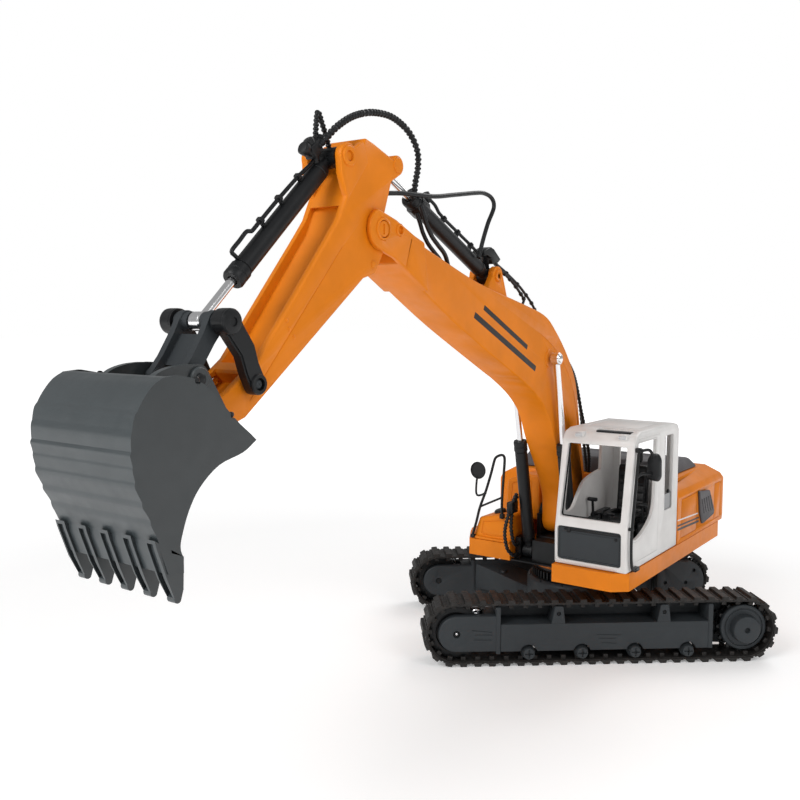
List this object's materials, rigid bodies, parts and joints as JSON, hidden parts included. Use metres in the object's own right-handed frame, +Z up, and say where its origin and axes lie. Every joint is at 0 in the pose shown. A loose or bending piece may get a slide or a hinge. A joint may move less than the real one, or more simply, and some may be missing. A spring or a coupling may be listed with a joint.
{
  "type": "toy excavator",
  "caption": "Toy tracked excavator with slewing cab house, gooseneck boom, stick and bucket moved by sliding cylinder rods and links.",
  "frame": {"origin": "on the floor under the middle of the machine's bounding box", "axes": "+X forward along the boom towards the bucket, +Y to the left where the cab is, +Z up; the tracks are turned 51 degrees clockwise from +X as in the picture"},
  "size_m": [0.5799, 0.2914, 0.3511],
  "materials": {
    "orange_plastic": "satin moulded",
    "white_plastic": "semi-gloss moulded",
    "slate_plastic": "satin moulded",
    "bucket_grey": "satin, faintly metallic",
    "black_plastic": "satin moulded",
    "track_rubber": "matte",
    "grey_plastic": "matte moulded",
    "bright_steel": "polished",
    "cast_weight": "as cast",
    "circuit_board": "solder mask",
    "battery_wrap": "shrink wrap"
  },
  "bodies": {
    "undercarriage": {"chassis": "slate_plastic", "slew_ring": "black_plastic", "track_frame_left": "slate_plastic", "track_belt_left": "track_rubber", "gearbox_left": "slate_plastic", "track_frame_right": "slate_plastic", "track_belt_right": "track_rubber", "gearbox_right": "slate_plastic"},
    "sprocket_left_wheel": {"sprocket_left": "slate_plastic"},
    "idler_left_wheel": {"idler_left": "black_plastic"},
    "roller_left_1_wheel": {"roller_left_1": "slate_plastic"},
    "roller_left_2_wheel": {"roller_left_2": "slate_plastic"},
    "roller_left_3_wheel": {"roller_left_3": "slate_plastic"},
    "roller_left_4_wheel": {"roller_left_4": "slate_plastic"},
    "sprocket_right_wheel": {"sprocket_right": "slate_plastic"},
    "idler_right_wheel": {"idler_right": "black_plastic"},
    "roller_right_1_wheel": {"roller_right_1": "slate_plastic"},
    "roller_right_2_wheel": {"roller_right_2": "slate_plastic"},
    "roller_right_3_wheel": {"roller_right_3": "slate_plastic"},
    "roller_right_4_wheel": {"roller_right_4": "slate_plastic"},
    "house": {"deck": "orange_plastic", "rear_body": "orange_plastic", "counterweight": "cast_weight", "battery_pack": "battery_wrap", "circuit_board": "circuit_board", "slew_motor": "bright_steel", "engine_hood": "grey_plastic", "vent_panel_left": "grey_plastic", "vent_panel_right": "grey_plastic", "right_tank": "orange_plastic", "right_handrail": "black_plastic", "boom_bracket": "black_plastic", "cab_frame": "white_plastic", "cab_lower_panel": "slate_plastic", "cab_interior": "black_plastic", "cab_seat": "black_plastic", "cab_rail": "black_plastic", "hose_pair_to_house": "black_plastic", "hose_loops_at_foot": "black_plastic"},
    "boom": {"boom": "orange_plastic", "stick_pin": "black_plastic", "hose_loop_to_stick": "black_plastic", "hose_over_cylinder": "black_plastic", "hose_under_cylinder": "black_plastic", "hose_pair_on_boom": "black_plastic"},
    "boom_cylinders": {"boom_cylinder_left": "black_plastic", "boom_cylinder_right": "black_plastic"},
    "boom_rods": {"boom_rod_left": "bright_steel", "boom_rod_right": "bright_steel"},
    "stick_barrel": {"stick_cylinder": "black_plastic"},
    "stick_piston": {"stick_rod": "bright_steel"},
    "stick": {"stick": "orange_plastic", "hose_small_loop": "black_plastic"},
    "bucket_barrel": {"bucket_cylinder": "black_plastic"},
    "bucket_piston": {"bucket_rod": "bright_steel"},
    "rockers": {"rocker_left": "slate_plastic", "rocker_right": "slate_plastic"},
    "tipping_link": {"tipping_link": "slate_plastic"},
    "bucket": {"bucket": "bucket_grey"}
  },
  "joints": [
    {"name": "sprocket_left_spin", "type": "hinge", "parent": "undercarriage", "child": "sprocket_left_wheel", "pos_m": [-0.21601, 0.07966, 0.0235], "axis": [0.7771, 0.6293, 0], "continuous": true},
    {"name": "idler_left_spin", "type": "hinge", "parent": "undercarriage", "child": "idler_left_wheel", "pos_m": [-0.08699, -0.07966, 0.0235], "axis": [0.7771, 0.6293, 0], "continuous": true},
    {"name": "roller_left_1_spin", "type": "hinge", "parent": "undercarriage", "child": "roller_left_1_wheel", "pos_m": [-0.11878, -0.04041, 0.0094], "axis": [0.7771, 0.6293, 0], "continuous": true},
    {"name": "roller_left_2_spin", "type": "hinge", "parent": "undercarriage", "child": "roller_left_2_wheel", "pos_m": [-0.14244, -0.01119, 0.0094], "axis": [0.7771, 0.6293, 0], "continuous": true},
    {"name": "roller_left_3_spin", "type": "hinge", "parent": "undercarriage", "child": "roller_left_3_wheel", "pos_m": [-0.1661, 0.01803, 0.0094], "axis": [0.7771, 0.6293, 0], "continuous": true},
    {"name": "roller_left_4_spin", "type": "hinge", "parent": "undercarriage", "child": "roller_left_4_wheel", "pos_m": [-0.18976, 0.04725, 0.0094], "axis": [0.7771, 0.6293, 0], "continuous": true},
    {"name": "sprocket_right_spin", "type": "hinge", "parent": "undercarriage", "child": "sprocket_right_wheel", "pos_m": [-0.21601, 0.07966, 0.0235], "axis": [0.7771, 0.6293, 0], "continuous": true},
    {"name": "idler_right_spin", "type": "hinge", "parent": "undercarriage", "child": "idler_right_wheel", "pos_m": [-0.08699, -0.07966, 0.0235], "axis": [0.7771, 0.6293, 0], "continuous": true},
    {"name": "roller_right_1_spin", "type": "hinge", "parent": "undercarriage", "child": "roller_right_1_wheel", "pos_m": [-0.11878, -0.04041, 0.0094], "axis": [0.7771, 0.6293, 0], "continuous": true},
    {"name": "roller_right_2_spin", "type": "hinge", "parent": "undercarriage", "child": "roller_right_2_wheel", "pos_m": [-0.14244, -0.01119, 0.0094], "axis": [0.7771, 0.6293, 0], "continuous": true},
    {"name": "roller_right_3_spin", "type": "hinge", "parent": "undercarriage", "child": "roller_right_3_wheel", "pos_m": [-0.1661, 0.01803, 0.0094], "axis": [0.7771, 0.6293, 0], "continuous": true},
    {"name": "roller_right_4_spin", "type": "hinge", "parent": "undercarriage", "child": "roller_right_4_wheel", "pos_m": [-0.18976, 0.04725, 0.0094], "axis": [0.7771, 0.6293, 0], "continuous": true},
    {"name": "slew", "type": "hinge", "parent": "undercarriage", "child": "house", "pos_m": [-0.1515, 0, 0.053], "axis": [0, 0, 1], "continuous": true},
    {"name": "boom_lift", "type": "hinge", "parent": "house", "child": "boom", "pos_m": [-0.127, 0, 0.0945], "axis": [0, 1, 0], "range_deg": [-8, 32], "deforming": ["hose_pair_to_house", "hose_loops_at_foot"]},
    {"name": "boom_cylinder_swing", "type": "hinge", "parent": "house", "child": "boom_cylinders", "pos_m": [-0.106, 0, 0.069], "axis": [0, 1, 0], "range_deg": [-7.6, 29]},
    {"name": "boom_rod_slide", "type": "slide", "parent": "boom_cylinders", "child": "boom_rods", "axis": [0.2021, 0, 0.9794], "range_m": [-0.0165, 0.0043]},
    {"name": "stick_curl", "type": "hinge", "parent": "boom", "child": "stick", "pos_m": [0.1188, 0, 0.288], "axis": [0, 1, 0], "range_deg": [-15, 35], "deforming": ["hose_loop_to_stick"]},
    {"name": "stick_cylinder_swing", "type": "hinge", "parent": "boom", "child": "stick_barrel", "pos_m": [-0.0094, 0, 0.2687], "axis": [0, 1, 0], "range_deg": [-1, 2]},
    {"name": "stick_rod_slide", "type": "slide", "parent": "stick_barrel", "child": "stick_piston", "axis": [0.9022, 0, 0.4313], "range_m": [-0.01, 0.0228]},
    {"name": "bucket_curl", "type": "hinge", "parent": "stick", "child": "bucket", "pos_m": [0.2336, 0, 0.2007], "axis": [0, 1, 0], "range_deg": [-12, 60]},
    {"name": "bucket_cylinder_swing", "type": "hinge", "parent": "stick", "child": "bucket_barrel", "pos_m": [0.1429, 0, 0.3214], "axis": [0, 1, 0], "range_deg": [-0.3, 0.6]},
    {"name": "bucket_rod_slide", "type": "slide", "parent": "bucket_barrel", "child": "bucket_piston", "axis": [0.7332, 0, -0.6801], "range_m": [-0.005, 0.0228]},
    {"name": "rocker_swing", "type": "hinge", "parent": "stick", "child": "rockers", "pos_m": [0.2127, 0, 0.215], "axis": [0, 1, 0], "range_deg": [-8.7, 41.7]},
    {"name": "tipping_link_turn", "type": "hinge", "parent": "rockers", "child": "tipping_link", "pos_m": [0.2285, 0, 0.242], "axis": [0, 1, 0], "range_deg": [-35.8, 7.6]}
  ],
  "couplings": [
    {"joint": "idler_left_spin", "follows": "sprocket_left_spin", "ratio": 1},
    {"joint": "roller_left_1_spin", "follows": "sprocket_left_spin", "ratio": 3.72},
    {"joint": "roller_left_2_spin", "follows": "sprocket_left_spin", "ratio": 3.72},
    {"joint": "roller_left_3_spin", "follows": "sprocket_left_spin", "ratio": 3.72},
    {"joint": "roller_left_4_spin", "follows": "sprocket_left_spin", "ratio": 3.72},
    {"joint": "idler_right_spin", "follows": "sprocket_right_spin", "ratio": 1},
    {"joint": "roller_right_1_spin", "follows": "sprocket_right_spin", "ratio": 3.72},
    {"joint": "roller_right_2_spin", "follows": "sprocket_right_spin", "ratio": 3.72},
    {"joint": "roller_right_3_spin", "follows": "sprocket_right_spin", "ratio": 3.72},
    {"joint": "roller_right_4_spin", "follows": "sprocket_right_spin", "ratio": 3.72},
    {"joint": "boom_cylinder_swing", "follows": "boom_lift", "ratio": 0.8914},
    {"joint": "boom_rod_slide", "follows": "boom_lift", "m_per_rad": -0.02883},
    {"joint": "stick_cylinder_swing", "follows": "stick_curl", "ratio": 0.0508},
    {"joint": "stick_rod_slide", "follows": "stick_curl", "m_per_rad": 0.03674},
    {"joint": "bucket_cylinder_swing", "follows": "bucket_curl", "ratio": 0.0061},
    {"joint": "bucket_rod_slide", "follows": "bucket_curl", "m_per_rad": 0.02102},
    {"joint": "rocker_swing", "follows": "bucket_curl", "ratio": 0.6825},
    {"joint": "tipping_link_turn", "follows": "bucket_curl", "ratio": -0.5851}
  ]
}
